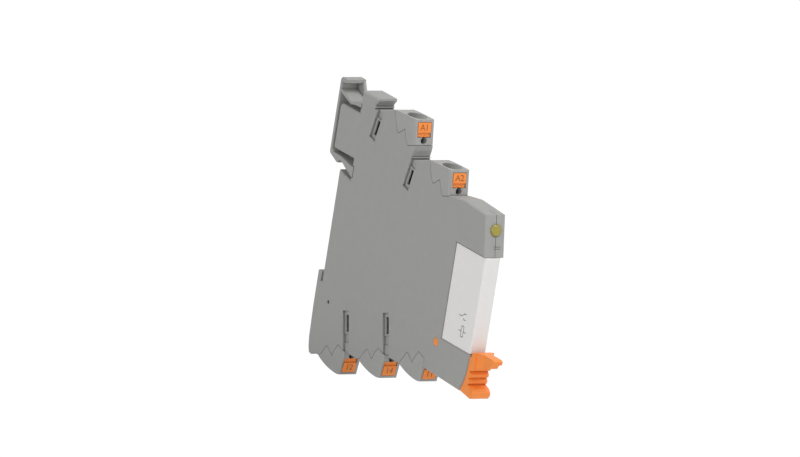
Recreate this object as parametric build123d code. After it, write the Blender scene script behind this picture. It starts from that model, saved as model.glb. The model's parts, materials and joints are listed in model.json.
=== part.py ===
from build123d import *
import os
from math import cos, hypot, radians, sin, tan

# Slim plug-in relay module for a 35 mm mounting rail.
# It is drawn with depth forward from the rail, across from the left side to the right,
# and height up from the middle of the rail. At the end it is turned so that depth runs along -Y.

# Driving sizes, in millimetres and degrees
width = 6.2
cover_thickness = 1.0
right_wall = 0.9
rim = 1.2
seam = 0.12
edge_softness = 0.3

# Rail seat: the rail's flange edges lie rail_half above and below the middle
rail_half = 17.6
flange_gap = 1.15
prong_thickness = 1.65
prong_height = 2.7
hook_reach = 0.9

# Housing outline
top = 39.8
cap_rear = 5.8
cap_front = 14.0
neck_drop = 1.9
neck_setback = 1.0
block_neck_drop = 9.9
block_neck_setback = 0.7
valley_drop = 3.3
head_top = 25.0
head_front = 76.1
head_lean = 12.3
tail_depth = 2.8
tail_bottom = 38.95

# Spring foot, one piece with the housing
foot_rear = 6.3
leg_top = 40.4
leg_thickness = 0.95
foot_gap = 0.75
foot_block_rise = 2.6
foot_block_top = 33.3
strap_thickness = 0.85
lip_reach = 2.3

# Terminals: outer rear corner and step to the next, then the heel's drop and curve in each row
top_corner = (23.2, 39.75)
top_step = (21.2, -8.2)
top_heel = 0.35
top_bulge = 0.12
bottom_corner = (4.4, -40.05)
bottom_step = (20.28, 5.4)
bottom_heel = 1.85
bottom_bulge = 0.6
block_length = 10.95
face_height = 7.0
face_lean = 10.0
near_chamfer = (0.8, 0.35)
far_chamfer = 0.2

# Conductor entry of one terminal
funnel_tilt = 37.0
funnel_flare = 22.0
funnel_reach = 6.0
bore_radius = 1.25
bore_start = (4.1, 2.4)
bore_overlap = 0.95
bore_tilt = 20.0
tongue_depth = 8.4
tongue_width = 3.9
tongue_wall = 0.8

# Push button of one terminal
button_width = 4.15
button_top = 0.8
button_bottom = 4.9
button_thickness = 0.65
button_proud = 0.12
button_step = 3.7
button_step_depth = 0.3
button_travel = 1.0
button_clearance = 0.1
arm_width = 3.0
arm_top = 2.9
arm_height = 1.3
arm_depth = 3.9
arm_thickness = 0.9
arm_reach = 9.9
arm_toe = 1.3
probe_radius = 1.0
probe_height = 5.9
probe_depth = 2.5

# Clamp spring and current bar of one terminal
spring_thickness = 0.3
spring_width = 3.4
spring_bend = 0.9
bar_depth = 12.4
bar_thickness = 0.6
bar_width = 3.4
strip_width = 2.2

# Bridge slots in the left side
slot_width = 3.1
slot_depth = 0.6
slit_width = 1.2
slot_top_corner = (12.4, 28.5)
slot_top_step = (20.45, -8.1)
slot_top_tilt = 14.5
slot_top_length = 9.0
slot_bottom_corner = (12.85, -22.1)
slot_bottom_step = (20.15, 5.6)
slot_bottom_tilt = 16.4
slot_bottom_length = 11.9
slit_start = 1.2
slit_length = 4.7
well_depth = 0.85
well_gap = 0.55
well_length = 2.55
vent_radius = 0.55
vent_spot = (4.8, -22.1)

# Relay and its bay
relay_height = 27.55
relay_depth = 15.0
relay_thickness = 5.0
relay_left = 2.85
bay_middle = -0.43
bay_rear = 63.6
bay_clearance = 0.1
relay_gap = 0.25
bay_wall_end = 76.5
relay_right = -relay_left + relay_thickness
relay_across = (relay_right - relay_left) / 2
coil_pin_drops = (2.775, 7.815)
contact_pin_rises = (12.175, 7.135, 2.095)
contact_room = 14.375
pin_width = 1.0
pin_thickness = 0.4
pin_length = 4.4
pin_clearance = 0.05
case_wall = 0.4

# Retaining lever
pivot_setback = 2.13
pivot_drop = 1.795
pivot_radius = 1.15
pivot_clearance = 0.05
boss_radius = 2.15
toe_height = 1.35
lever_arc = 17.5
lever_gap = 0.25
lever_side_gap = 0.12
grip_width = 6.0
lip_clearance = 1.35
lip_height = 0.955
tab_length = 8.8
tab_width = 2.9
lever_plate_bottom = -25.0

# Status lens and its board
lens_height = 20.8
lens_across = 0.3
lens_radius = 1.65
lens_proud = 0.55
lens_seat = 0.65
guide_radius = 1.0
guide_length = 3.1
board_thickness = 0.8
board_across = 1.0
board_rear = 42.0
board_low = 2.0
board_high = 16.6
board_step = 57.8
board_socket_gap = 2.2
board_head_top = 22.2
board_head_front = 73.2
coil_pad_height = 11.0
diode_place = (60.7, 18.4)

half = width / 2
inner_left = -half + cover_thickness
inner_right = half - right_wall
foot_block_bottom = rail_half + foot_block_rise
relay_rear = bay_rear + relay_gap
relay_front = relay_rear + relay_depth
relay_low = bay_middle - relay_height / 2
relay_high = bay_middle + relay_height / 2
pin_heights = [relay_high - drop for drop in coil_pin_drops]
pin_heights += [relay_low + rise for rise in contact_pin_rises]
pivot = (bay_rear - pivot_setback, relay_low - pivot_drop)


# Small drawing helpers
def outline(*points):
    return make_face(Polyline(*points, close=True))


def plate(shape, left, right):
    return Pos(0, right, 0) * extrude(Plane.XZ * shape, amount=right - left)


def block(low, high):
    size = [b - a for a, b in zip(low, high)]
    middle = [(a + b) / 2 for a, b in zip(low, high)]
    return Pos(*middle) * Box(*size)


def shifted(point, step, times=1):
    return (point[0] + step[0] * times, point[1] + step[1] * times)


def strip(points, strip_size, bend=0.0):
    path = FilletPolyline(*points, radius=bend) if bend else Polyline(*points)
    return trace(path, line_width=strip_size)


def inset(points, amount):
    """Move every edge of a clockwise outline inwards by the same amount."""
    lines = []
    for start, end in zip(points, points[1:] + points[:1]):
        run, rise = end[0] - start[0], end[1] - start[1]
        length = hypot(run, rise)
        shift = (rise / length * amount, -run / length * amount)
        lines.append(((start[0] + shift[0], start[1] + shift[1]), (run, rise)))
    corners = []
    for (p, d), (q, e) in zip(lines[-1:] + lines[:-1], lines):
        cross = d[0] * e[1] - d[1] * e[0]
        reach = ((q[0] - p[0]) * e[1] - (q[1] - p[1]) * e[0]) / cross
        corners.append((p[0] + d[0] * reach, p[1] + d[1] * reach))
    return corners


# Terminal places: corner, side, heel drop, bulge
terminals = {
    "a1": (top_corner, 1, top_heel, top_bulge),
    "a2": (shifted(top_corner, top_step), 1, top_heel, top_bulge),
    "12": (bottom_corner, -1, bottom_heel, bottom_bulge),
    "14": (shifted(bottom_corner, bottom_step), -1, bottom_heel, bottom_bulge),
    "11": (shifted(bottom_corner, bottom_step, 2), -1, bottom_heel, bottom_bulge),
}


def terminal_frame(name):
    """Frame of one terminal: X to the front, Z outwards."""
    corner, side = terminals[name][:2]
    return Plane(origin=(corner[0], 0, corner[1]), x_dir=(1, 0, 0), z_dir=(0, 0, side))


def spot(name, along, inward):
    """Depth and height of a point of a terminal's side view."""
    place = terminal_frame(name).from_local_coords((along, 0, -inward))
    return (place.X, place.Z)


face_foot = block_length + face_height * tan(radians(face_lean))
face_frame = Plane(
    origin=(block_length, 0, 0),
    x_dir=(0, 1, 0),
    z_dir=(cos(radians(face_lean)), 0, sin(radians(face_lean))),
)


# Terminal inserts
def insert_side(heel, bulge, grow=0.0):
    """Side view of an insert: curved outer edge, tilted front face, toothed inner edge."""
    teeth = [
        (face_foot, -face_height),
        (8.9, -8.0),
        (7.5, -6.2),
        (6.4, -4.0),
        (3.6, -5.9),
        (3.1, -5.9),
        (2.1, -4.6),
    ]
    outer = [(0, -heel), (block_length, 0)]
    if grow:
        ring = inset(outer + teeth, -grow)
        return outline(*ring) + outline(ring[0], (0, grow + 2), (block_length, grow + 2), ring[1])
    crown = ThreePointArc(outer[0], (block_length / 2, bulge - heel / 2), outer[1])
    return make_face([crown, Polyline(outer[1], *teeth, outer[0])])


def tilted(start, tilt):
    """Place in the insert with Z outwards and leaning to the front."""
    return Pos(start[0], 0, -start[1]) * Rot(0, tilt, 0)


def funnel():
    """Flared mouth that leans to the front, and the round conductor bore behind it."""
    flare = funnel_reach * tan(radians(funnel_flare))
    mouth = Pos(0, 0, funnel_reach / 2) * Cone(bore_radius, bore_radius + flare, funnel_reach)
    depth = tongue_depth * 1.2
    bore = Pos(0, 0, bore_overlap - depth / 2) * Cylinder(bore_radius, depth)
    return tilted(bore_start, funnel_tilt) * mouth + tilted(bore_start, bore_tilt) * bore


def bore_edge(inward, offset):
    """Place along the terminal, at a depth, of a line beside the bore's axis."""
    slope = tan(radians(bore_tilt))
    return bore_start[0] - (inward - bore_start[1]) * slope + offset


def button_room():
    """Space in the insert for the button, its arm and its travel."""
    gap = button_clearance
    wide = button_width / 2 + gap
    back = button_thickness + button_travel + gap
    room = block((-wide, -button_bottom - gap, -back), (wide, -button_top + gap, 2))
    slim = arm_width / 2 + gap
    rear = arm_depth + button_travel + gap
    low = -arm_top - arm_height - gap
    room += block((-slim, low, -rear), (slim, -arm_top + gap, -button_thickness))
    front = arm_depth - arm_thickness - gap
    room += block((-slim, -arm_reach - 1, -rear), (slim, -arm_top + gap, -front))
    return room


def softened_front(body, side):
    """Wide chamfer on the front face's left edge and a small one on its right edge."""
    drop, inward = near_chamfer
    for edge, cut, reach in ((-side * half, drop, inward), (side * half, far_chamfer, far_chamfer)):
        away = 1 if edge > 0 else -1
        corner = Polyline((0, edge), (-cut, edge), (0, edge - away * reach), close=True)
        wedge = Pos(0, 0, -face_height - 1) * extrude(make_face(corner), amount=face_height + 3)
        lean = Pos(block_length, 0, 0) * Rot(0, -face_lean, 0)
        body -= lean * wedge
    return body


def terminal_insert(heel, bulge, side):
    body = softened_front(plate(insert_side(heel, bulge), -half, half), side)
    start = 4.0
    reach = bore_radius / cos(radians(bore_tilt)) + tongue_wall
    tongue = outline(
        (bore_edge(start, -reach), -start),
        (bore_edge(start, reach), -start),
        (bore_edge(tongue_depth, reach), -tongue_depth),
        (bore_edge(tongue_depth, -reach), -tongue_depth),
    )
    body += plate(tongue, -tongue_width / 2, tongue_width / 2)
    body -= funnel()
    body -= face_frame * button_room()
    probe = Pos(0, -probe_height, -probe_depth / 2 + 1) * Cylinder(probe_radius, probe_depth + 2)
    body -= face_frame * probe
    return body


def push_button():
    """Marker face with a step below it, notched over the probe hole, and a bent arm."""
    wide = button_width / 2
    face = block((-wide, -button_bottom, -button_thickness), (wide, -button_top, button_proud))
    face -= block((-wide, -button_bottom, -button_step_depth), (wide, -button_step, button_proud))
    face -= Pos(0, -probe_height, 0) * Cylinder(probe_radius + button_clearance, 4)
    slim = arm_width / 2
    low = -arm_top - arm_height
    arm = block((-slim, low, -arm_depth), (slim, -arm_top, -button_thickness + 0.2))
    arm += block((-slim, -arm_reach, -arm_depth), (slim, -arm_top, -arm_depth + arm_thickness))
    toe_back = arm_depth + arm_toe
    arm += block((-slim, -arm_reach, -toe_back), (slim, -arm_reach + arm_thickness, -arm_depth))
    return face_frame * (face + arm)


def clamp_spring():
    seat = -bar_depth + spring_thickness / 2
    leaf = strip([(1.0, seat), (8.2, seat), (2.2, seat + 3.0)], spring_thickness, spring_bend)
    return plate(leaf, -spring_width / 2, spring_width / 2)


def bar_seat():
    half_bar = bar_width / 2
    return block((0.5, -half_bar, -bar_depth - bar_thickness), (7.5, half_bar, -bar_depth))


# Housing outline, clockwise from the rear corner below the foot
def bottom_face(name):
    return [spot(name, face_foot, face_height), spot(name, block_length, 0), spot(name, 0, bottom_heel)]


head_turn = tan(radians(head_lean))
bay_top = bay_middle + relay_height / 2 + bay_clearance
bay_bottom = bay_middle - relay_height / 2 - bay_clearance
head_foot = head_front + (head_top - bay_top) * head_turn
lever_wall = pivot[0] - boss_radius - 0.3
a1_corner = terminals["a1"][0]
a2_corner = terminals["a2"][0]


def neck(front, height):
    """Set-back neck under a nose, then the valley before the next ramp."""
    return [(front, height), (front + 0.45, height - (valley_drop - neck_drop))]


cap_neck = neck(cap_front - neck_setback, top - neck_drop)
block_neck = neck(a1_corner[0] + face_foot + 0.2 - block_neck_setback, a1_corner[1] - block_neck_drop)

body_points = [
    (0, rail_half - 2.4),
    (2.0, rail_half - 3.0),
    (6.2, rail_half - 3.7),
    (6.2, foot_block_bottom),
    (-foot_rear + leg_thickness + foot_gap + 0.5, foot_block_bottom),
    (-foot_rear + leg_thickness + foot_gap, foot_block_bottom + 0.6),
    (-foot_rear + leg_thickness + foot_gap, foot_block_top - 0.9),
    (-foot_rear + leg_thickness + foot_gap + 0.8, foot_block_top),
    (cap_rear, foot_block_top),
    (cap_rear, top),
    (cap_front, top),
    (cap_front + 0.1, top - 0.6),
    *cap_neck,
    spot("a1", 0, top_heel),
    spot("a1", block_length, 0),
    spot("a1", face_foot, face_height),
    spot("a1", face_foot - 0.1, face_height + 1.6),
    *block_neck,
    spot("a2", 0, top_heel),
    spot("a2", block_length, 0),
    spot("a2", face_foot, face_height),
    (a2_corner[0] + face_foot + 0.6, head_top - 0.25),
    (head_front - 12.2, head_top + 0.65),
    (head_front, head_top),
    (head_foot, bay_top),
    (bay_rear, bay_top),
    (bay_rear, bay_bottom),
    (lever_wall, bay_bottom),
    (lever_wall, bay_bottom - 5.7),
    *bottom_face("11"),
    *bottom_face("14"),
    *bottom_face("12"),
    (3.0, -tail_bottom + 0.95),
    (1.8, -tail_bottom + 0.8),
    (-0.3, -tail_bottom),
    (-1.3, -tail_bottom + 0.2),
    (-2.0, -tail_bottom + 2.0),
    (-tail_depth + 0.35, -tail_bottom + 4.5),
    (-tail_depth, -tail_bottom + 14.0),
    (-tail_depth, -rail_half + prong_height),
    (-tail_depth + prong_thickness, -rail_half + prong_height),
    (-flange_gap, -rail_half),
    (0, -rail_half),
]

chamber_points = inset(
    [
        (0, rail_half - 2.8),
        (6.2, rail_half - 3.7),
        (6.2, foot_block_bottom),
        (-foot_rear + leg_thickness + foot_gap, foot_block_bottom),
        (-foot_rear + leg_thickness + foot_gap, foot_block_top),
        (cap_rear, foot_block_top),
        (cap_rear, top),
        (cap_front - neck_setback, top),
        cap_neck[1],
        spot("a1", 0, top_heel),
        spot("a1", block_length, 0),
        spot("a1", face_foot - 0.1, face_height + 1.6),
        block_neck[1],
        spot("a2", 0, top_heel),
        spot("a2", block_length, 0),
        spot("a2", face_foot, face_height),
        (head_front - 12.2, head_top + 0.4),
        (head_front, head_top),
        (head_foot, bay_top),
        (bay_rear, bay_top),
        (bay_rear, bay_bottom),
        (lever_wall, bay_bottom),
        (lever_wall, bay_bottom - 5.7),
        *bottom_face("11"),
        *bottom_face("14"),
        *bottom_face("12"),
        (0, -tail_bottom + 2.0),
    ],
    rim,
)


def lever_plate():
    """Side plate of the lever's slot, rounded in front about the pivot."""
    disc = Pos(*pivot) * Circle(lever_arc)
    window = outline(
        (lever_wall - 2.5, bay_bottom),
        (head_foot + 6, bay_bottom),
        (head_foot + 6, lever_plate_bottom - 0.6),
        (lever_wall - 2.2, lever_plate_bottom + 0.2),
    )
    return disc & window


def rail_foot():
    """Spring leg: strap from the housing's top, leg down the back, hook bar below."""
    leg_front = -foot_rear + leg_thickness
    strap_top = foot_block_top + 1.85
    strap = outline(
        (leg_front - 0.2, strap_top + 2.0),
        (leg_front + 0.8, strap_top + 1.6),
        (0.5, strap_top),
        (3.0, strap_top + 0.5),
        (cap_rear + 0.3, strap_top + 0.6),
        (cap_rear + 0.3, strap_top + 0.6 - strap_thickness),
        (3.0, strap_top + 0.5 - strap_thickness),
        (0.5, strap_top - strap_thickness),
        (leg_front + 0.8, strap_top + 1.6 - strap_thickness),
        (leg_front - 0.2, strap_top + 2.0 - strap_thickness),
    )
    leg = outline(
        (-foot_rear, rail_half + 1.2),
        (-foot_rear, leg_top - 0.7),
        (-foot_rear + 0.7, leg_top),
        (leg_front + lip_reach, leg_top - 0.1),
        (leg_front + lip_reach, leg_top - 1.1),
        (leg_front, leg_top - 1.4),
        (leg_front, rail_half + 1.2),
    )
    hook = outline(
        (-foot_rear, rail_half + 2.4),
        (-foot_rear, rail_half + 1.1),
        (-foot_rear + 0.4, rail_half + 0.6),
        (-flange_gap - hook_reach, rail_half - 0.95),
        (-flange_gap, rail_half - 0.8),
        (-flange_gap + 0.1, rail_half),
        (0.4, rail_half),
        (3.0, rail_half - 1.3),
        (6.1, rail_half - 2.7),
        (6.9, rail_half - 2.7),
        (6.9, foot_block_bottom - 2.2),
        (5.8, foot_block_bottom - 2.5),
        (0, rail_half + 1.2),
        (leg_front + 0.8, rail_half + 1.4),
        (leg_front, rail_half + 2.2),
    )
    return strap + leg + hook


def eye_gusset():
    """Web that closes the right side of the screwdriver eye."""
    leg_front = -foot_rear + leg_thickness
    strap_top = foot_block_top + 1.85
    return outline(
        (leg_front - 0.2, leg_top - 0.4),
        (leg_front + lip_reach, leg_top - 0.5),
        (leg_front + lip_reach + 1.4, leg_top - 3.0),
        (0.3, strap_top - 0.1),
        (leg_front - 0.2, strap_top + 1.2),
    )


def slot_frame(corner, tilt, side):
    """Frame of a bridge slot: X across the slot, Y along it towards its mouth."""
    turn = radians(tilt)
    return Plane(origin=(corner[0], corner[1], 0), x_dir=(cos(turn), -side * sin(turn), 0), z_dir=(0, 0, 1))


def rectangle(low, high):
    return outline(low, (high[0], low[1]), high, (low[0], high[1]))


slots = [
    (slot_top_corner, slot_top_tilt, 1, slot_top_length),
    (shifted(slot_top_corner, slot_top_step), slot_top_tilt, 1, slot_top_length),
    (slot_bottom_corner, slot_bottom_tilt, -1, slot_bottom_length),
    (shifted(slot_bottom_corner, slot_bottom_step), slot_bottom_tilt, -1, slot_bottom_length),
]


def bridge_slots():
    """Recess, through slit and deeper well of each bridge slot."""
    cuts = []
    for corner, tilt, side, length in slots:
        frame = slot_frame(corner, tilt, side)
        recess = frame * rectangle((0, 0), (slot_width, side * length))
        low = (slot_width - slit_width) / 2
        slit_end = slit_start + slit_length
        narrow = frame * rectangle((low, side * slit_start), (low + slit_width, side * slit_end))
        well_end = min(slit_end + well_gap + well_length, length)
        well = frame * rectangle((0, side * (slit_end + well_gap)), (slot_width, side * well_end))
        cuts.append(plate(recess, -half - 1, -half + slot_depth))
        cuts.append(plate(narrow, -half - 1, inner_left + 0.05))
        cuts.append(plate(well, -half - 1, -half + well_depth))
    return cuts


def insert_cuts():
    cuts = []
    for name, (_, _, heel, bulge) in terminals.items():
        cuts.append(terminal_frame(name) * plate(insert_side(heel, bulge, seam), -half - 1, half + 1))
    return cuts


def neck_grooves():
    """Two grooves across each neck, where the marking strip clips in."""
    cuts = []
    for corner in (cap_neck[0], block_neck[0]):
        for drop in (0.25, 0.95):
            low = (corner[0] - 0.1, -half - 1, corner[1] - drop - 0.35)
            cuts.append(block(low, (corner[0] + 1.5, half + 1, corner[1] - drop)))
    return cuts


head_face = Plane(
    origin=(head_front + (head_top - lens_height) * head_turn, lens_across, lens_height),
    x_dir=(0, 1, 0),
    z_dir=(cos(radians(head_lean)), 0, sin(radians(head_lean))),
)


def lens_hole():
    seat = Pos(0, 0, -lens_seat / 2 + 1) * Cylinder(lens_radius + 0.05, lens_seat + 2)
    return head_face * (seat + Cylinder(guide_radius + 0.05, 2 * guide_length + 2))


def pivot_hole():
    return Pos(pivot[0], 0, pivot[1]) * (Rot(90, 0, 0) * Cylinder(pivot_radius + pivot_clearance, width + 2))


def pin_holes():
    cuts = []
    for middle in pin_heights:
        left, right = relay_across - pin_width / 2 - 0.3, relay_across + pin_width / 2 + 0.3
        low = (bay_rear - rim - 1, left, middle - pin_thickness / 2 - 0.3)
        cuts.append(block(low, (bay_rear + 1, right, middle + pin_thickness / 2 + 0.3)))
    toe_room = (lever_wall, inner_left, bay_bottom - 0.5)
    cuts.append(block(toe_room, (bay_rear + 1, inner_right, bay_bottom + 1.6)))
    return cuts


def head_ring():
    """Front wall of the head, which the cover and the base share half and half."""
    ring = outline(*body_points) - outline(*chamber_points)
    return ring & rectangle((head_front - 4.0, bay_top), (head_foot + 3, head_top + 2))


def base_housing():
    body = plate(outline(*body_points), inner_left, half)
    body -= plate(outline(*chamber_points), inner_left - 1, inner_right)
    body += plate(rail_foot(), -half, half)
    body += plate(eye_gusset(), inner_right, half)
    right_side = lever_plate() + rectangle((bay_rear - 1, bay_bottom - 0.5), (bay_wall_end, bay_top + 0.5))
    body += plate(right_side, inner_right, half)
    body -= plate(head_ring(), inner_left - 0.5, lens_across + seam)
    for cut in [*insert_cuts(), *bridge_slots(), *neck_grooves(), *pin_holes(), lens_hole(), pivot_hole()]:
        body -= cut
    return body


def side_cover():
    side = outline(*body_points) + lever_plate() - rail_foot()
    body = plate(side, -half, inner_left)
    outer = body.faces().sort_by(Axis.Y)[0]
    body = chamfer(outer.edges(), edge_softness)
    body += plate(head_ring(), inner_left - 0.1, lens_across)
    vent = Pos(vent_spot[0], -half, vent_spot[1]) * (Rot(90, 0, 0) * Cylinder(vent_radius, 1.4))
    for cut in [*insert_cuts(), *bridge_slots(), *neck_grooves(), lens_hole(), pivot_hole(), vent]:
        body -= cut
    return body


# Current bars: flat strips in three layers behind the left cover
strip_layers = {"a1": 0.7, "a2": 0.7, "12": 0.7, "14": -0.1, "11": -1.0}
socket_rear = 57.9


def bar_route(name):
    start = spot(name, 4.0, bar_depth + bar_thickness / 2)
    side = terminals[name][1]
    root = (start[0], start[1] - side * 2.0)
    ends = {
        "a1": [root, (board_rear, coil_pad_height), (board_rear + 2.5, coil_pad_height)],
        "a2": [(start[0], 13.0)],
        "12": [root, (start[0] + 11.0, pin_heights[4]), (socket_rear, pin_heights[4])],
        "14": [root, (start[0] + 8.0, pin_heights[2]), (socket_rear, pin_heights[2])],
        "11": [(start[0], pin_heights[3]), (socket_rear, pin_heights[3])],
    }
    return [start, *ends[name]]


def current_bar(name):
    middle = strip_layers[name]
    flat = strip(bar_route(name), strip_width)
    run = plate(flat, middle - bar_thickness / 2, middle + bar_thickness / 2)
    return terminal_frame(name) * bar_seat() + run


def socket_contact(number):
    """Fork of two leaves that grips one relay pin."""
    middle = pin_heights[number]
    inner = pin_thickness / 2 + pin_clearance
    outer = inner + 0.25
    front = bay_rear - rim - 0.3
    left, right = relay_across - 1.0, relay_across + 1.0
    body = block((socket_rear, left, middle - 0.9), (socket_rear + 0.6, right, middle + 0.9))
    left, right = relay_across - 0.6, relay_across + 0.6
    for low, high in ((inner, outer), (-outer, -inner)):
        body += block((socket_rear + 0.5, left, middle + low), (front, right, middle + high))
    return body


# Circuit board and what it carries
def circuit_board():
    front = bay_rear - board_socket_gap
    over_bay = bay_top + rim + 0.5
    board = outline(
        (board_rear, board_low), (front, board_low), (front, over_bay), (board_head_front, over_bay),
        (board_head_front, board_head_top), (board_step, board_head_top), (board_step, board_high),
        (board_rear, board_high),
    )
    return plate(board, board_across, board_across + board_thickness)


def bridge_rectifier():
    body = block((50.5, board_across - 2.2, 5.0), (56.5, board_across, 9.0))
    for depth in (51.3, 53.5, 55.7):
        body += block((depth - 0.3, board_across - 0.6, 4.2), (depth + 0.3, board_across, 9.8))
    return body


def series_resistors():
    bodies = []
    for height in (4.4, 7.8):
        low, high = (44.5, board_across - 0.6, height - 0.8), (48.5, board_across, height + 0.8)
        bodies.append(block(low, high))
    return Compound(children=bodies)


def suppressor_diode():
    depth, height = diode_place
    body = block((depth - 2.1, board_across - 1.8, height - 1.2), (depth + 2.1, board_across, height + 1.2))
    pads = block((depth - 2.7, board_across - 0.5, height - 0.6), (depth + 2.7, board_across, height + 0.6))
    return body + pads


def guide_end():
    turn = radians(head_lean)
    start = head_face.origin
    return (start.X - guide_length * cos(turn), start.Z - guide_length * sin(turn))


def status_led():
    depth, height = guide_end()
    low = (depth - 1.6, lens_across - 0.7, height - 0.8)
    return block(low, (depth - 0.35, board_across, height + 0.8))


def status_lens():
    head_length = lens_seat - 0.05 + lens_proud
    head = Pos(0, 0, lens_proud - head_length / 2) * Cylinder(lens_radius, head_length)
    rim_edge = head.edges().sort_by(Axis.Z)[-1]
    head = chamfer(rim_edge, lens_proud * 0.6)
    guide = Pos(0, 0, -guide_length / 2) * Cylinder(guide_radius, guide_length)
    return head_face * (head + guide)


# Retaining lever: pivot pin, ejector toe, arm and ribbed grip in one moulding
def from_lip(*offsets):
    """Points of the grip, drawn from the lip's tip that stands before the relay."""
    tip = (relay_front + lip_clearance, relay_low + lip_height)
    return [shifted(tip, offset) for offset in offsets]


def lever_side():
    grip = outline(*from_lip(
        (0, 0), (1.5, 0.35), (1.7, -3.35), (1.0, -4.95), (-0.1, -5.35), (0.7, -6.15),
        (0.6, -6.95), (-0.2, -7.35), (0.5, -8.05), (0.4, -8.75), (-0.2, -9.25), (1.9, -9.95),
        (2.8, -10.75), (2.8, -11.65), (2.1, -12.65), (-6.2, -11.45), (-6.2, -1.55), (-0.2, -1.55),
    ))
    reach = lever_arc + lever_gap
    return grip - (Pos(*pivot) * Circle(reach))


def thumb_tab():
    side = outline(*from_lip(
        (0, 0), (1.5, 0.35), (4.0, 0.35), (tab_length - 0.8, 0.35), (tab_length, -0.05),
        (tab_length - 0.35, -1.05), (tab_length - 1.6, -1.55), (tab_length - 2.2, -2.65), (1.1, -4.35),
    ))
    wide, slim = grip_width / 2, tab_width / 2
    start = relay_front + lip_clearance
    plan = make_face(Polyline(
        (start - 1.2, -wide), (start, -wide), (start + 4.0, -slim), (start + tab_length + 1, -slim),
        (start + tab_length + 1, slim), (start + 4.0, slim), (start, wide), (start - 1.2, wide),
        close=True,
    ))
    return plate(side, -half, half) & (Pos(0, 0, -head_front) * extrude(plan, amount=head_front))


def lever_arm():
    reach = lever_arc + lever_gap
    beam = outline(
        (pivot[0] - 1.2, bay_bottom - 0.5),
        (pivot[0] + reach + 0.6, bay_bottom - 0.5),
        (pivot[0] + reach + 0.6, -18.0),
        (78.6, -21.8),
        (75.6, -21.8),
        (69.0, pivot[1] - boss_radius - 0.6),
        (pivot[0], pivot[1] - boss_radius),
    )
    toe = outline(
        (pivot[0] - 1.2, bay_bottom - 0.6),
        (bay_rear - 1.2, bay_bottom + toe_height),
        (bay_rear + 0.05, bay_bottom + toe_height),
        (bay_rear + 0.05, bay_bottom - 0.6),
    )
    return beam + toe + Pos(*pivot) * Circle(boss_radius)


def retaining_lever():
    arm_half_left = inner_left + lever_side_gap
    arm_half_right = inner_right - lever_side_gap
    body = plate(lever_arm(), arm_half_left, arm_half_right)
    body += plate(lever_side(), -grip_width / 2, grip_width / 2)
    body += thumb_tab()
    body += Pos(pivot[0], 0, pivot[1]) * (Rot(90, 0, 0) * Cylinder(pivot_radius, width))
    return body


# Relay: case, base, magnet and contacts
base_thickness = 1.4
base_clearance = 0.03
pin_fit = 0.02
coil_low = relay_low + contact_room
coil_high = relay_high - 2.6
coil_rear = relay_rear + 3.2
coil_front = relay_front - 3.4
coil_middle = (coil_rear + coil_front) / 2
coil_half = relay_thickness / 2 - case_wall - 0.15
flange_thickness = 0.6
core_depth = 3.2
core_width = 1.5
stem_wall = 0.5
core_clearance = 0.05
yoke_half = 1.8
yoke_thickness = 1.1
armature_half = 1.7
armature_pivot = (relay_front - 1.7, coil_low - 1.7)


def relay_block(depths, reach, heights):
    """Box across the middle of the relay that reaches as far to both sides."""
    low = (depths[0], relay_across - reach, heights[0])
    return block(low, (depths[1], relay_across + reach, heights[1]))


def around_core(grow, low, high):
    reach = core_depth / 2 + grow
    return relay_block((coil_middle - reach, coil_middle + reach), core_width / 2 + grow, (low, high))


def relay_case():
    body = block((relay_rear, -relay_left, relay_low), (relay_front, relay_right, relay_high))
    low = (relay_rear - 1, -relay_left + case_wall, relay_low + case_wall)
    body -= block(low, (relay_front - case_wall, relay_right - case_wall, relay_high - case_wall))
    return chamfer(body.faces().sort_by(Axis.X)[-1].edges(), 0.25)


def relay_base():
    wall = case_wall + base_clearance
    low = (relay_rear + 0.1, -relay_left + wall, relay_low + wall)
    body = block(low, (relay_rear + base_thickness, relay_right - wall, relay_high - wall))
    tall = pin_thickness / 2 + pin_fit
    for number in range(len(pin_heights)):
        heights = (pin_heights[number] - tall, pin_heights[number] + tall)
        body -= relay_block((relay_rear - 1, relay_rear + 4), pin_width / 2 + pin_fit, heights)
    return body


def relay_bobbin():
    """Two flanges on a stem with room for the core."""
    body = relay_block((coil_rear, coil_front), coil_half, (coil_low, coil_high))
    between = (coil_low + flange_thickness, coil_high - flange_thickness)
    winding = relay_block((coil_rear - 1, coil_front + 1), relay_thickness, between)
    body -= winding - around_core(stem_wall, coil_low, coil_high)
    return body - around_core(core_clearance, coil_low - 1, coil_high + 1)


def relay_coil():
    gap = 0.02
    heights = (coil_low + flange_thickness + gap, coil_high - flange_thickness - gap)
    body = relay_block((coil_rear + 0.3, coil_front - 0.3), coil_half - 0.1, heights)
    rounded = fillet(body.edges().filter_by(Axis.Z), 0.9)
    return rounded - around_core(stem_wall + core_clearance, coil_low, coil_high)


def relay_core():
    return around_core(0, coil_low - 0.95, coil_high + 0.1)


def relay_yoke():
    """Strap from the core's top to the front, then down to the armature."""
    low, high = coil_high + 0.1, coil_high + 0.1 + yoke_thickness
    front = relay_front - 1.2
    body = relay_block((coil_middle - core_depth / 2, front), yoke_half, (low, high))
    return body + relay_block((front - yoke_thickness, front), yoke_half, (armature_pivot[1] + 0.8, high))


def relay_armature():
    """Plate under the core's end, hinged at the yoke's foot, with a push card."""
    depth, height = armature_pivot
    reach = coil_middle - 1.9
    body = relay_block((reach, depth + 0.5), armature_half, (height - 0.45, height + 0.35))
    card_low = pin_heights[3] + 0.17
    low = (reach + 1.0, relay_across + 1.05, card_low)
    return body + block(low, (reach + 1.8, relay_across + 1.6, height))


contact_depth = relay_front - 3.2
contact_gap = 0.45
contact_rest = 0.05
rivet_height = 0.4


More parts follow.
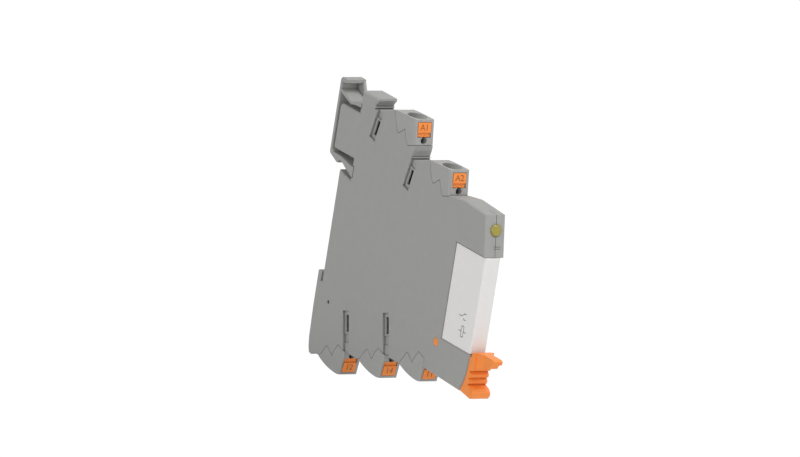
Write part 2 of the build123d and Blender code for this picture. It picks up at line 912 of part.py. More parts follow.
def contact_pin(number):
    middle = pin_heights[number]
    depths = (relay_rear - pin_length, relay_rear + base_thickness + 0.4)
    return relay_block(depths, pin_width / 2, (middle - pin_thickness / 2, middle + pin_thickness / 2))


def contact_rivet(height, tall):
    return Pos(contact_depth, relay_across, height) * Cylinder(0.7, tall)


def fixed_contact(number, side):
    """Pin, bent strip and rivet of one fixed contact."""
    start = relay_rear + base_thickness + 0.2
    gap = contact_gap if side > 0 else contact_rest
    blade = pin_heights[3] + side * (2 * rivet_height + gap + 0.15)
    root = pin_heights[number]
    route = [(start, root), (start + 1.4, root), (start + 3.4, blade), (contact_depth + 0.9, blade)]
    strap = plate(strip(route, 0.3), relay_across - 0.9, relay_across + 0.9)
    rivet = contact_rivet(blade - side * (0.15 + rivet_height / 2), rivet_height)
    return contact_pin(number) + strap + rivet


def moving_contact():
    """Contact spring of the common pin, with a rivet on both faces."""
    start = relay_rear + base_thickness + 0.7
    height = pin_heights[3]
    blade = relay_block((start, contact_depth + 1.0), 1.6, (height - 0.12, height + 0.12))
    return blade + contact_rivet(height, 2 * rivet_height)


def coil_pins():
    return Compound(children=[contact_pin(number) for number in (0, 1)])


# Turn the drawing into the row's frame and write one file for each node
def build():
    nodes = {"base_housing": base_housing(), "side_cover": side_cover()}
    for name, (_, side, heel, bulge) in terminals.items():
        frame = terminal_frame(name)
        nodes[f"terminal_insert_{name}"] = frame * terminal_insert(heel, bulge, side)
        nodes[f"push_button_{name}"] = frame * push_button()
        nodes[f"clamp_spring_{name}"] = frame * clamp_spring()
        nodes[f"current_bar_{name}"] = current_bar(name)
    for number in range(len(pin_heights)):
        nodes[f"socket_contact_{number + 1}"] = socket_contact(number)
    nodes["circuit_board"] = circuit_board()
    nodes["bridge_rectifier"] = bridge_rectifier()
    nodes["series_resistors"] = series_resistors()
    nodes["suppressor_diode"] = suppressor_diode()
    nodes["status_led"] = status_led()
    nodes["status_lens"] = status_lens()
    nodes["retaining_lever"] = retaining_lever()
    nodes["relay_case"] = relay_case()
    nodes["relay_base"] = relay_base()
    nodes["relay_bobbin"] = relay_bobbin()
    nodes["relay_coil"] = relay_coil()
    nodes["relay_core"] = relay_core()
    nodes["relay_yoke"] = relay_yoke()
    nodes["relay_armature"] = relay_armature()
    nodes["relay_coil_pins"] = coil_pins()
    nodes["relay_make_contact"] = fixed_contact(2, 1)
    nodes["relay_break_contact"] = fixed_contact(4, -1)
    nodes["relay_common_pin"] = contact_pin(3)
    nodes["relay_moving_contact"] = moving_contact()
    return nodes


facing = Plane(origin=(0, 0, 0), x_dir=(0, -1, 0), z_dir=(0, 0, 1))
os.makedirs("parts", exist_ok=True)
for node, shape in build().items():
    export_step(facing.location * shape, f"parts/{node}.step")
    print(node, "volume", round(shape.volume, 1))
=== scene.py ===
# %% [markdown]
# # A slim relay module, dressed for its picture
# The module clips onto a mounting rail. Its relay plugs into the front and an orange lever
# holds it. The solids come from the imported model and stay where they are. This script gives
# them their finishes, adds the printed marks, and sets the lamps, the floor and the camera.

# %% Load the frame
import json
from math import atan2

import bpy
from mathutils import Matrix, Vector

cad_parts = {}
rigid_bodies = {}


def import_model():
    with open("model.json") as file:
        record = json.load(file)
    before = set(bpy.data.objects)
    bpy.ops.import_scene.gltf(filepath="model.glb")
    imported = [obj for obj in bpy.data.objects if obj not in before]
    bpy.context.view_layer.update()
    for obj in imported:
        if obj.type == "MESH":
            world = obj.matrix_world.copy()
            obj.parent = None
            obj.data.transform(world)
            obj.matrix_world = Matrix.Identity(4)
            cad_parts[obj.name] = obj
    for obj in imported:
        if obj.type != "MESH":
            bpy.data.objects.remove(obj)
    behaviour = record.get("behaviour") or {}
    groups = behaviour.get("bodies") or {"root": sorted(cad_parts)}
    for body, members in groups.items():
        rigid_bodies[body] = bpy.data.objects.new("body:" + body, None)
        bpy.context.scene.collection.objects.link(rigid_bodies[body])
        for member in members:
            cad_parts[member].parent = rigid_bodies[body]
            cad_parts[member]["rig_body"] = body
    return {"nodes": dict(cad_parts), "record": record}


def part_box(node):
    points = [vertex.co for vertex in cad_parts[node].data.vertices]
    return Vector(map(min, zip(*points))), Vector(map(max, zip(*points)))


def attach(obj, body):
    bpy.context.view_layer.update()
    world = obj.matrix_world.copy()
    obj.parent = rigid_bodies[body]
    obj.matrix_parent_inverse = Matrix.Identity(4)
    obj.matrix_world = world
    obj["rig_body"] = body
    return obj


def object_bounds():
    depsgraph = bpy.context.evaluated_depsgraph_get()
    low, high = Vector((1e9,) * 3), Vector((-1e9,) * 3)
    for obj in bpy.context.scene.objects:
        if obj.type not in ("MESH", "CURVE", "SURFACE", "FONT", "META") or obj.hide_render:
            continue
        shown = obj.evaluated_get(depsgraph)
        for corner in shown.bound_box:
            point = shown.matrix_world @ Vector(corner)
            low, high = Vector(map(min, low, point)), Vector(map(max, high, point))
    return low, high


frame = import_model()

nodes = frame["nodes"]
cad_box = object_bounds()
MM = 0.001

# %% [markdown]
# ## One way to write a colour, one way to add a shader node
# Paint and plastic colours are known as sRGB hex values. Blender's sockets want linear
# light, so one function turns them by the curve of the sRGB standard. A second one adds a
# shader node with its settings and its links, and every finish below is built with it.
# Sockets are given by name, or by number where a name occurs twice: on a Mix node, 0 is
# the factor and 6 and 7 are the colours. Finishes could come from pictures laid on the
# surface, but nodes need no unwrapping and stay sharp from close by.

# %% Colour and node helpers
def colour(code):
    parts = [int(code[i:i + 2], 16) / 255 for i in (1, 3, 5)]
    return tuple(p / 12.92 if p <= 0.04045 else ((p + 0.055) / 1.055) ** 2.4 for p in parts) + (1.0,)


def add_node(material, kind, settings=None, links=None):
    node = material.node_tree.nodes.new(kind)
    for name, value in (settings or {}).items():
        if isinstance(name, int) or name in node.inputs:
            node.inputs[name].default_value = value
        else:
            setattr(node, name, value)
    for name, source in (links or {}).items():
        material.node_tree.links.new(source, node.inputs[name])
    return node


def new_finish(name):
    material = bpy.data.materials.new(name)
    material.use_nodes = True
    material.node_tree.nodes.clear()
    return material


print("orange in linear light:", [round(v, 3) for v in colour("#FF9642")])

# %% [markdown]
# ## Moulded plastics
# The housing is glass-filled polyamide. It leaves a spark-eroded mould with a fine matt
# grain, and the glass gives it a faint mottle, so to the eye it is dull and even. The
# grain is about 0.05 mm, too fine for the picture, so it is drawn at 0.16 mm. The relay's
# parts come from smoother moulds, so their grain is shallower and they shine more. The
# small black components have a finer grain, drawn at 0.12 and 0.1 mm. A soft bevel in the
# normals stands for the small radius that every moulded edge has; cut into the mesh, it
# would cost many faces.
# The colour is darkened with painted shade where a surface is shut in within 0.7 mm: in the
# narrow joints, slots and recesses. The orange lever and buttons stay bright in their
# grooves, so their painted shade is weaker.

# %% Moulded plastic finish
GRAIN_MM = 0.16
EPOXY_GRAIN_MM = 0.12
CERAMIC_GRAIN_MM = 0.1
MOTTLE_MM = 3.0
EDGE_RADIUS_MM = 0.12
CREVICE_MM = 0.7
CREVICE_SHADE = 0.22
ORANGE_CREVICE_SHADE = 0.75
GRAIN_SHEEN = 0.06


def moulded_plastic(name, code, darker, rough, relief_mm,
                    grain_mm=GRAIN_MM, crevice_shade=CREVICE_SHADE):
    material = new_finish(name)
    place = add_node(material, "ShaderNodeTexCoord")
    mottle = add_node(material, "ShaderNodeTexNoise",
                      {"Scale": 1 / (MOTTLE_MM * MM), "Detail": 4.0, "Roughness": 0.6},
                      {"Vector": place.outputs["Object"]})
    grain = add_node(material, "ShaderNodeTexNoise",
                     {"Scale": 1 / (grain_mm * MM), "Detail": 2.0, "Roughness": 0.5},
                     {"Vector": place.outputs["Object"]})
    tint = add_node(material, "ShaderNodeMix",
                    {"data_type": "RGBA", 6: colour(darker), 7: colour(code)},
                    {0: mottle.outputs["Fac"]})
    # Ambient occlusion mixes a darker colour into the tint: painted shade in joints, slots and recesses.
    crevice = add_node(material, "ShaderNodeAmbientOcclusion", {"samples": 4, "Distance": CREVICE_MM * MM})
    painted_shade_colour = tuple(value * crevice_shade for value in colour(darker)[:3]) + (1.0,)
    shaded = add_node(material, "ShaderNodeMix", {"data_type": "RGBA", 6: painted_shade_colour},
                      {0: crevice.outputs["AO"], 7: tint.outputs[2]})
    sheen = add_node(material, "ShaderNodeMapRange",
                     {"From Min": 0.3, "From Max": 0.7,
                      "To Min": rough - GRAIN_SHEEN, "To Max": rough + GRAIN_SHEEN},
                     {"Value": grain.outputs["Fac"]})
    edge = add_node(material, "ShaderNodeBevel", {"samples": 4, "Radius": EDGE_RADIUS_MM * MM})
    bump = add_node(material, "ShaderNodeBump", {"Strength": 1.0, "Distance": relief_mm * MM},
                    {"Height": grain.outputs["Fac"], "Normal": edge.outputs["Normal"]})
    shader = add_node(material, "ShaderNodeBsdfPrincipled", {"IOR": 1.5, "Specular IOR Level": 0.4},
                      {"Base Color": shaded.outputs[2], "Roughness": sheen.outputs["Result"],
                       "Normal": bump.outputs["Normal"]})
    add_node(material, "ShaderNodeOutputMaterial", {}, {"Surface": shader.outputs[0]})
    return material


housing_grey = moulded_plastic("polyamide_grey_spark_eroded", "#A6A6A4", "#9F9F9C",
                               rough=0.62, relief_mm=0.012)
insert_grey = moulded_plastic("polyamide_grey_insert", "#A9A9A7", "#A2A29F",
                              rough=0.58, relief_mm=0.010)
button_orange = moulded_plastic("polyamide_orange_moulded", "#FF9642", "#F98E3B",
                                rough=0.45, relief_mm=0.008, crevice_shade=ORANGE_CREVICE_SHADE)
case_white = moulded_plastic("polyester_white_relay_case", "#EEECEB", "#E8E6E5",
                             rough=0.38, relief_mm=0.004)
base_black = moulded_plastic("polyester_black_relay_base", "#26262A", "#1E1E21",
                             rough=0.5, relief_mm=0.006)
bobbin_cream = moulded_plastic("polyester_cream_bobbin", "#D3CBB8", "#C9C0AC",
                               rough=0.5, relief_mm=0.006)
epoxy_black = moulded_plastic("epoxy_black_component", "#1C1C1E", "#141416",
                              rough=0.48, relief_mm=0.01, grain_mm=EPOXY_GRAIN_MM)
ceramic_black = moulded_plastic("ceramic_black_resistor", "#2A2A2E", "#202024",
                                rough=0.35, relief_mm=0.004, grain_mm=CERAMIC_GRAIN_MM)
print("materials so far:", len(bpy.data.materials))

# %% [markdown]
# ## Metals of the springs, bars and magnet
# Strip metal is rolled, so its scratches run one way and its shine is drawn out into
# streaks. Stretched noise does this without a picture. It moves the roughness more than
# the colour, since a scratch shows by how it catches the light. The real scratches are too
# fine for the picture, so they are drawn 0.08 mm across.

# %% Rolled strip finish
SCRATCH_MM = 0.08
SCRATCH_DEPTH_MM = 0.004
SCRATCH_STRETCH = 0.06
SCRATCH_SHEEN = 0.08


def rolled_strip(name, code, darker, rough):
    material = new_finish(name)
    place = add_node(material, "ShaderNodeTexCoord")
    along = add_node(material, "ShaderNodeMapping", {"Scale": (1.0, SCRATCH_STRETCH, 1.0)},
                     {"Vector": place.outputs["Object"]})
    lines = add_node(material, "ShaderNodeTexNoise",
                     {"Scale": 1 / (SCRATCH_MM * MM), "Detail": 3.0, "Roughness": 0.6},
                     {"Vector": along.outputs["Vector"]})
    tint = add_node(material, "ShaderNodeMix",
                    {"data_type": "RGBA", 6: colour(darker), 7: colour(code)},
                    {0: lines.outputs["Fac"]})
    sheen = add_node(material, "ShaderNodeMapRange",
                     {"From Min": 0.3, "From Max": 0.7,
                      "To Min": rough - SCRATCH_SHEEN, "To Max": rough + SCRATCH_SHEEN},
                     {"Value": lines.outputs["Fac"]})
    bump = add_node(material, "ShaderNodeBump", {"Strength": 0.6, "Distance": SCRATCH_DEPTH_MM * MM},
                    {"Height": lines.outputs["Fac"]})
    shader = add_node(material, "ShaderNodeBsdfPrincipled", {"Metallic": 1.0},
                      {"Base Color": tint.outputs[2], "Roughness": sheen.outputs["Result"],
                       "Normal": bump.outputs["Normal"]})
    add_node(material, "ShaderNodeOutputMaterial", {}, {"Surface": shader.outputs[0]})
    return material


spring_steel = rolled_strip("spring_steel_rolled", "#C9C8C4", "#B4B3AF", rough=0.32)
tinned_copper = rolled_strip("copper_tin_plated", "#D2CFC8", "#BDBAB2", rough=0.38)
contact_bronze = rolled_strip("bronze_rolled_strip", "#D0A468", "#B98D53", rough=0.34)
magnet_iron = rolled_strip("iron_nickel_plated", "#BEBDB8", "#A8A7A3", rough=0.36)
silver_contact = rolled_strip("bronze_silver_faced", "#D9CFBE", "#C4B9A6", rough=0.3)
print("materials so far:", len(bpy.data.materials))

# %% [markdown]
# ## Copper winding
# The winding is enamelled wire, laid turn by turn round the bobbin. Thousands of turns as
# solids would be wasted inside a closed case, so they are drawn as fine rings, coppery
# and glossy under the enamel. At a scale of 1, one wave of the texture is 0.31416 m long.
# The scale is set so that each wire of 0.1 mm is one light and one dark ring. The light ring
# is the copper's colour, and the dark ring is painted shade in the groove between turns.

# %% Winding finish
WIRE_MM = 0.1
WIRE_RELIEF_MM = 0.03
WAVE_LENGTH_M = 0.31416


def enamelled_winding(name, code, darker):
    material = new_finish(name)
    place = add_node(material, "ShaderNodeTexCoord")
    wires = add_node(material, "ShaderNodeTexWave",
                     {"wave_type": "BANDS", "bands_direction": "Z", "Scale": WAVE_LENGTH_M / (WIRE_MM * MM)},
                     {"Vector": place.outputs["Object"]})
    # The darker colour is painted shade between the turns.
    tint = add_node(material, "ShaderNodeMix",
                    {"data_type": "RGBA", 6: colour(darker), 7: colour(code)},
                    {0: wires.outputs["Fac"]})
    ridge = add_node(material, "ShaderNodeBump", {"Strength": 0.8, "Distance": WIRE_RELIEF_MM * MM},
                     {"Height": wires.outputs["Fac"]})
    shader = add_node(material, "ShaderNodeBsdfPrincipled",
                      {"Metallic": 0.7, "Roughness": 0.3, "Coat Weight": 0.5},
                      {"Base Color": tint.outputs[2], "Normal": ridge.outputs["Normal"]})
    add_node(material, "ShaderNodeOutputMaterial", {}, {"Surface": shader.outputs[0]})
    return material


winding = enamelled_winding("copper_enamelled_winding", "#C9713C", "#7A3A1E")
print("winding:", winding.name)

# %% [markdown]
# ## Circuit board
# The board is laminate under a smooth green solder mask, with the copper tracks showing
# darker through it. Squarish cells stand for the tracks, because no real layout can be
# seen.

# %% Circuit board finish
TRACK_MM = 1.1
TRACK_RELIEF_MM = 0.03


def solder_mask(name, code, track_code):
    material = new_finish(name)
    place = add_node(material, "ShaderNodeTexCoord")
    tracks = add_node(material, "ShaderNodeTexVoronoi",
                      {"distance": "CHEBYCHEV", "feature": "F1", "Scale": 1 / (TRACK_MM * 2 * MM),
                       "Randomness": 0.6}, {"Vector": place.outputs["Object"]})
    edge = add_node(material, "ShaderNodeMapRange", {"From Min": 0.28, "From Max": 0.34},
                    {"Value": tracks.outputs["Distance"]})
    tint = add_node(material, "ShaderNodeMix",
                    {"data_type": "RGBA", 6: colour(code), 7: colour(track_code)},
                    {0: edge.outputs["Result"]})
    bump = add_node(material, "ShaderNodeBump",
                    {"Strength": 0.5, "Distance": TRACK_RELIEF_MM * MM, "invert": True},
                    {"Height": edge.outputs["Result"]})
    shader = add_node(material, "ShaderNodeBsdfPrincipled", {"Roughness": 0.32, "Coat Weight": 0.3},
                      {"Base Color": tint.outputs[2], "Normal": bump.outputs["Normal"]})
    add_node(material, "ShaderNodeOutputMaterial", {}, {"Surface": shader.outputs[0]})
    return material


board_green = solder_mask("laminate_green_solder_mask", "#2F6B3F", "#1F5230")
print("board:", board_green.name)

# %% [markdown]
# ## Lens and diode
# The status lens is yellow-tinted polycarbonate, polished and cloudy, and the diode is
# clear epoxy. Full glass would show the dark inside of the head, so most of the light is
# scattered near the surface and only a little passes through. A slow change of colour
# over 1.2 mm stands for the flow of the plastic in its mould.

# %% Lens and diode finishes
FLOW_MM = 1.2
LIGHT_REACH_MM = 0.6


def tinted_plastic(name, code, darker, rough, clear):
    material = new_finish(name)
    place = add_node(material, "ShaderNodeTexCoord")
    flow = add_node(material, "ShaderNodeTexNoise", {"Scale": 1 / (FLOW_MM * MM), "Detail": 2.0},
                    {"Vector": place.outputs["Object"]})
    tint = add_node(material, "ShaderNodeMix",
                    {"data_type": "RGBA", 6: colour(darker), 7: colour(code)},
                    {0: flow.outputs["Fac"]})
    shader = add_node(material, "ShaderNodeBsdfPrincipled",
                      {"Roughness": rough, "IOR": 1.49, "Transmission Weight": clear,
                       "Subsurface Weight": 0.25, "Subsurface Scale": LIGHT_REACH_MM * MM},
                      {"Base Color": tint.outputs[2]})
    add_node(material, "ShaderNodeOutputMaterial", {}, {"Surface": shader.outputs[0]})
    return material


lens_yellow = tinted_plastic("polycarbonate_yellow_lens", "#B0A436", "#9C902C", rough=0.16, clear=0.12)
diode_clear = tinted_plastic("epoxy_clear_diode", "#E7E2C4", "#D6D0AC", rough=0.2, clear=0.3)
print("materials so far:", len(bpy.data.materials))

# %% [markdown]
# ## Every node gets its finish
# The record names a material slot for each node. A table from slot to finish keeps all
# the choices in one place. The finish is put into the node's own material slots, and the
# mesh itself isn't touched.

# %% Assign the finishes
finish_of_slot = {
    "grey_polyamide": housing_grey,
    "grey_polyamide_insert": insert_grey,
    "orange_polyamide": button_orange,
    "spring_steel": spring_steel,
    "tinned_copper": tinned_copper,
    "spring_bronze": contact_bronze,
    "board_laminate": board_green,
    "black_epoxy": epoxy_black,
    "resistor_ceramic": ceramic_black,
    "led_body": diode_clear,
    "yellow_lens": lens_yellow,
    "white_case": case_white,
    "relay_base_plastic": base_black,
    "bobbin_plastic": bobbin_cream,
    "copper_winding": winding,
    "soft_iron": magnet_iron,
    "contact_alloy": silver_contact,
}
for part in frame["record"]["subparts"]:
    obj = nodes[part["node"]]
    obj.data.materials.clear()
    obj.data.materials.append(finish_of_slot[part["material_slot"]])

# %% [markdown]
# ## Finding a face to print on
# Print lies on a flat facet of a node. The facet is found on the node itself, so that the
# print follows when a size changes: of the triangles that face a given way and aren't
# slivers, those that lie furthest out. A second function turns a flat drawing so that it
# faces out of that facet with its top upwards.

# %% Find a facet
FRONT = Vector((0, -1, 0))
LEFT = Vector((-1, 0, 0))
UP = Vector((0, 0, 1))
LEAST_FACING = 0.9
LEAST_AREA_M2 = 1e-8
FACET_DEPTH_MM = 0.02


def outer_facet(node, direction):
    polygons = [p for p in nodes[node].data.polygons
                if p.normal.dot(direction) > LEAST_FACING and p.area > LEAST_AREA_M2]
    normal = max(polygons, key=lambda p: p.area).normal.copy()
    furthest = max(p.center.dot(normal) for p in polygons)
    flat = [p for p in polygons if furthest - p.center.dot(normal) < FACET_DEPTH_MM * MM]
    area = sum(p.area for p in flat)
    centre = sum((p.center * p.area for p in flat), Vector()) / area
    return centre, normal


def facing(normal):
    outward = normal.normalized()
    upward = (UP - outward * UP.dot(outward)).normalized()
    return Matrix((upward.cross(outward), upward, outward)).transposed().to_4x4()


print("front of the upper button:", [round(v / MM, 2) for v in outer_facet("push_button_a1", FRONT)[0]])

# %% [markdown]
# ## Print inks
# Pad print is a thin film of dull ink, brown on the orange buttons and grey elsewhere. Its
# cover is never quite even, so the colour varies a little in specks, drawn at 0.2 mm.

# %% Print inks
SPECKLE_MM = 0.2


def print_ink(name, code, lighter):
    material = new_finish(name)
    place = add_node(material, "ShaderNodeTexCoord")
    speckle = add_node(material, "ShaderNodeTexNoise", {"Scale": 1 / (SPECKLE_MM * MM), "Detail": 2.0},
                       {"Vector": place.outputs["Object"]})
    tint = add_node(material, "ShaderNodeMix",
                    {"data_type": "RGBA", 6: colour(code), 7: colour(lighter)},
                    {0: speckle.outputs["Fac"]})
    shader = add_node(material, "ShaderNodeBsdfPrincipled", {"Roughness": 0.55},
                      {"Base Color": tint.outputs[2]})
    add_node(material, "ShaderNodeOutputMaterial", {}, {"Surface": shader.outputs[0]})
    return material


ink_brown = print_ink("pad_print_ink_brown", "#8E5228", "#9C5C30")
ink_grey = print_ink("pad_print_ink_grey", "#5C5B5A", "#6A6968")
print("inks:", ink_brown.name, "and", ink_grey.name)

# %% [markdown]
# ## Letters and strokes
# Print could be painted into a finish, but as thin meshes of its own it keeps crisp edges
# and rides with its piece. Letters are text made into a mesh. A sign is made of straight
# strokes, each a flat bar, joined into one mesh.

# %% Letters, strokes and laying print
INK_LIFT_MM = 0.012
INK_THICKNESS_MM = 0.01
TEXT_SIZE_TO_HEIGHT = 1.4


def lay_print(mark, name, centre, normal, body, finish):
    mark.matrix_world = Matrix.Translation(centre + normal * INK_LIFT_MM * MM) @ facing(normal)
    bpy.ops.object.transform_apply(location=True, rotation=True, scale=True)
    mark.name = name
    mark.data.materials.clear()
    mark.data.materials.append(finish)
    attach(mark, body)
    print(name, "at", [round(v / MM, 2) for v in centre])


def text_mesh(words, height_mm):
    bpy.ops.object.select_all(action="DESELECT")
    bpy.ops.object.text_add()
    text = bpy.context.object
    text.data.body = words
    text.data.size = height_mm * MM * TEXT_SIZE_TO_HEIGHT
    text.data.align_x = "CENTER"
    text.data.align_y = "CENTER"
    text.data.extrude = INK_THICKNESS_MM * MM
    bpy.ops.object.convert(target="MESH")
    return bpy.context.object


def stroke_mesh(strokes, width_mm):
    bars = []
    for start, end in strokes:
        a, b = Vector((*start, 0)), Vector((*end, 0))
        run = b - a
        bpy.ops.object.select_all(action="DESELECT")
        bpy.ops.mesh.primitive_cube_add(
            size=MM, location=(a + b) / 2 * MM, rotation=(0, 0, atan2(run.y, run.x)),
            scale=(run.length + width_mm, width_mm, INK_THICKNESS_MM))
        bars.append(bpy.context.object)
    for bar in bars:
        bar.select_set(True)
    bpy.ops.object.join()
    bpy.ops.object.transform_apply(location=True, rotation=True, scale=True)
    return bpy.context.object


print("print lies", INK_LIFT_MM, "mm above its facet")

# %% [markdown]
# ## Terminal marks on the push buttons
# Each button carries its terminal's mark, so that the wire's place can be read with the
# module on its rail. All five are made in one loop, because they differ only in their
# letters. Each lies in the middle of its button's outermost facet.

# %% Print the five marks
MARK_HEIGHT_MM = 1.75
for terminal in ("a1", "a2", "12", "14", "11"):
    centre, normal = outer_facet("push_button_" + terminal, FRONT)
    lay_print(text_mesh(terminal.upper(), MARK_HEIGHT_MM), "mark_" + terminal, centre, normal,
              "button_" + terminal, ink_brown)

# %% [markdown]
# ## Circuit signs
# The relay's side carries a plain circuit sign: a coil with its two leads, and above it a
# changeover contact. The front of the head gets the sign for direct current below the
# lens. A sign could be drawn as a curve, but bars with square ends look like print. Each
# stroke goes from one point to another, in millimetres to the right and up from the
# sign's middle.

# %% Print the signs
COIL_SIGN = [
    ((-0.55, -1.5), (-0.55, 1.5)),
    ((-0.55, 1.5), (0.55, 1.5)),
    ((0.55, 1.5), (0.55, -1.5)),
    ((0.55, -1.5), (-0.55, -1.5)),
    ((-1.7, 0), (-0.55, 0)),
    ((0.55, 0), (1.7, 0)),
]
CONTACT_SIGN = [
    ((-1.7, 0), (-0.7, 0)),
    ((-0.7, 0), (0.8, 0.75)),
    ((0.7, 0.95), (1.7, 0.95)),
    ((0.7, -0.75), (0.7, -0.35)),
    ((0.7, -0.75), (1.7, -0.75)),
]
DIRECT_SIGN = [
    ((-1.0, 0.3), (1.0, 0.3)),
    ((-1.0, -0.3), (-0.5, -0.3)),
    ((-0.25, -0.3), (0.25, -0.3)),
    ((0.5, -0.3), (1.0, -0.3)),
]
SIGN_LINE_MM = 0.2
COIL_AT_MM = Vector((0, -73.2, -9.35))
CONTACT_AT_MM = Vector((0, -72.3, -5.26))
BELOW_LENS_MM = Vector((0, 0, -4.4))


def print_sign(name, strokes, node, direction, spot):
    centre, normal = outer_facet(node, direction)
    on_face = spot + normal * (centre - spot).dot(normal)
    lay_print(stroke_mesh(strokes, SIGN_LINE_MM), name, on_face, normal,
              nodes[node]["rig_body"], ink_grey)


lens_low, lens_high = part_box("status_lens")
below_lens = (lens_low + lens_high) / 2 + BELOW_LENS_MM * MM
print_sign("sign_coil", COIL_SIGN, "relay_case", LEFT, COIL_AT_MM * MM)
print_sign("sign_contact", CONTACT_SIGN, "relay_case", LEFT, CONTACT_AT_MM * MM)
print_sign("sign_direct", DIRECT_SIGN, "base_housing", FRONT, below_lens)

# %% [markdown]
# ## The lip under the upper terminal block
# The solids leave about 0.13 mm between the upper block and its ledge, and from the
# camera's side that slit would let the background through. The photograph shows no light
# there, so a bar fills the slit, set back a little to leave a dark joint line. It starts
# as a cube, and each corner is moved to its place along the sloping ledge.

# %% Fill the slit
LIP_REAR_MM, LIP_FRONT_MM = 34.3, 35.2
LIP_LEFT_MM, LIP_RIGHT_MM = -2.8, 2.9
LIP_FOOT_MM = 32.29
LIP_HEIGHT_MM = 0.135
LEDGE_SLOPE = 0.3056
bpy.ops.object.select_all(action="DESELECT")
bpy.ops.mesh.primitive_cube_add(size=1.0)
lip = bpy.context.object
for vertex in lip.data.vertices:
    depth = LIP_FRONT_MM if vertex.co.y < 0 else LIP_REAR_MM
    across = LIP_LEFT_MM if vertex.co.x < 0 else LIP_RIGHT_MM
    rise = LIP_HEIGHT_MM if vertex.co.z > 0 else 0
    height = LIP_FOOT_MM + (depth - LIP_REAR_MM) * LEDGE_SLOPE + rise
    vertex.co = Vector((across, -depth, height)) * MM
lip.name = "seat_lip_a1"
lip.data.materials.append(housing_grey)
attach(lip, nodes["base_housing"]["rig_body"])
print("lip between", LIP_REAR_MM, "and", LIP_FRONT_MM, "mm of depth")

# %% [markdown]
# ## Floor
# The floor is a wide sheet of pale matt paper just below the lowest terminal. It throws
# light up into the undersides, as a photographer's table does. It is hidden from the
# camera, so the module stands free and can also be seen from below. Glossy reflections
# see it as plain white. The tooth of the paper is drawn at 1.5 mm.

# %% Pale floor
FLOOR_SIZE_M = 6.0
FLOOR_GAP_MM = 0.4
TOOTH_MM = 1.5


def white_paper(name, code, lighter):
    material = new_finish(name)
    place = add_node(material, "ShaderNodeTexCoord")
    tooth = add_node(material, "ShaderNodeTexNoise", {"Scale": 1 / (TOOTH_MM * MM), "Detail": 3.0},
                     {"Vector": place.outputs["Object"]})
    tint = add_node(material, "ShaderNodeMix",
                    {"data_type": "RGBA", 6: colour(code), 7: colour(lighter)},
                    {0: tooth.outputs["Fac"]})
    sheet = add_node(material, "ShaderNodeBsdfDiffuse", {}, {"Color": tint.outputs[2]})
    rays = add_node(material, "ShaderNodeLightPath")
    blank = add_node(material, "ShaderNodeEmission", {"Color": colour("#FFFFFF"), "Strength": 1.0})
    pick = add_node(material, "ShaderNodeMixShader", {},
                    {0: rays.outputs["Is Glossy Ray"], 1: sheet.outputs[0], 2: blank.outputs[0]})
    add_node(material, "ShaderNodeOutputMaterial", {}, {"Surface": pick.outputs[0]})
    return material


lowest = cad_box[0][2]
bpy.ops.object.select_all(action="DESELECT")
bpy.ops.mesh.primitive_plane_add(size=FLOOR_SIZE_M, location=(0, 0, lowest - FLOOR_GAP_MM * MM))
floor = bpy.context.object
bpy.ops.object.transform_apply(location=True, rotation=True, scale=True)
floor.name = "studio_floor"
floor.data.materials.append(white_paper("paper_white_sheet", "#F4F4F4", "#F8F8F8"))
floor.visible_camera = False
print("floor at a height of", round(lowest / MM - FLOOR_GAP_MM, 2), "mm")

# %% [markdown]
# ## World
# The camera sees the world as plain white through Is Camera Ray, and reflections do too.
# All other rays get a soft room light, so the background is white without more light on
# the module.

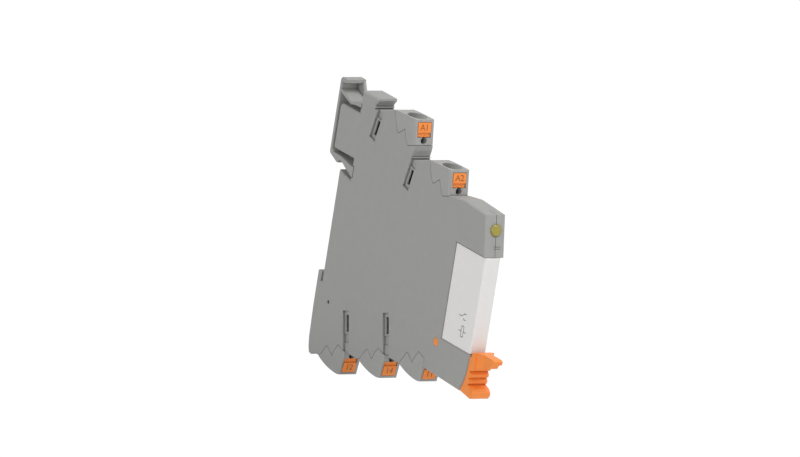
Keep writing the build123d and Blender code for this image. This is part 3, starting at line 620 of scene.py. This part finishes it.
# %% White background and room light
ROOM_LIGHT = 0.36
BACKGROUND_WHITE = 1.03
scene = bpy.context.scene
world = bpy.data.worlds.new("studio")
scene.world = world
world.use_nodes = True
world.node_tree.nodes.clear()
ray = add_node(world, "ShaderNodeLightPath")
seen = add_node(world, "ShaderNodeMath", {"operation": "MAXIMUM"},
                {0: ray.outputs["Is Camera Ray"], 1: ray.outputs["Is Glossy Ray"]})
soft = add_node(world, "ShaderNodeBackground", {"Color": (1, 1, 1, 1), "Strength": ROOM_LIGHT})
white = add_node(world, "ShaderNodeBackground", {"Color": (1, 1, 1, 1), "Strength": BACKGROUND_WHITE})
pick = add_node(world, "ShaderNodeMixShader", {},
                {0: seen.outputs[0], 1: soft.outputs[0], 2: white.outputs[0]})
add_node(world, "ShaderNodeOutputWorld", {}, {"Surface": pick.outputs[0]})
print("room light", ROOM_LIGHT)

# %% [markdown]
# ## Lamps
# Product photographs are lit with soft boxes, which give broad light and weak shadows.
# There are three square ones, in metres and watts: a strong one from above, a weaker one
# from the left that lights the flat side, and a faint one from the front.

# %% Place the soft boxes
MODULE_MIDDLE = Vector((0, -0.04, 0))


def soft_box(name, location, size, watts):
    bpy.ops.object.select_all(action="DESELECT")
    bpy.ops.object.light_add(type="AREA", location=location)
    lamp = bpy.context.object
    lamp.name = name
    lamp.data.shape = "SQUARE"
    lamp.data.size = size
    lamp.data.energy = watts
    lamp.rotation_euler = (MODULE_MIDDLE - Vector(location)).to_track_quat("-Z", "Y").to_euler()
    print(name, watts, "W")


soft_box("lamp_top", (0.1, -0.3, 0.9), size=0.8, watts=5.7)
soft_box("lamp_left", (-0.9, -0.5, 0.35), size=0.7, watts=2.45)
soft_box("lamp_front", (0.35, -1.0, 0.25), size=0.6, watts=0.9)

# %% [markdown]
# ## Camera
# The place and turn were fitted to the photograph: a long lens about 3.4 m away, from the
# left front and a little above, with the camera rolled so that the module leans. A matrix
# of three directions holds the roll as well, which aiming at a point would lose.

# %% Place the camera
CAMERA_AT = Vector((-1.7767, -2.7197, 0.8385))
CAMERA_RIGHT = Vector((0.8457, -0.5118, 0.1515))
CAMERA_UP = Vector((0.0055, 0.2920, 0.9564))
CAMERA_BACK = Vector((-0.5337, -0.8079, 0.2498))
SENSOR_MM = 36.0
LENS_MM = 540.0
FARTHEST_VIEW_M = 20.0
camera_data = bpy.data.cameras.new("camera")
camera_data.sensor_width = SENSOR_MM
camera_data.lens = LENS_MM
camera_data.clip_end = FARTHEST_VIEW_M
camera = bpy.data.objects.new("camera", camera_data)
scene.collection.objects.link(camera)
turn = Matrix((CAMERA_RIGHT, CAMERA_UP, CAMERA_BACK)).transposed().to_4x4()
camera.matrix_world = Matrix.Translation(CAMERA_AT) @ turn
scene.camera = camera
scene.view_settings.view_transform = "Standard"
print("camera", tuple(round(v, 3) for v in camera.location))
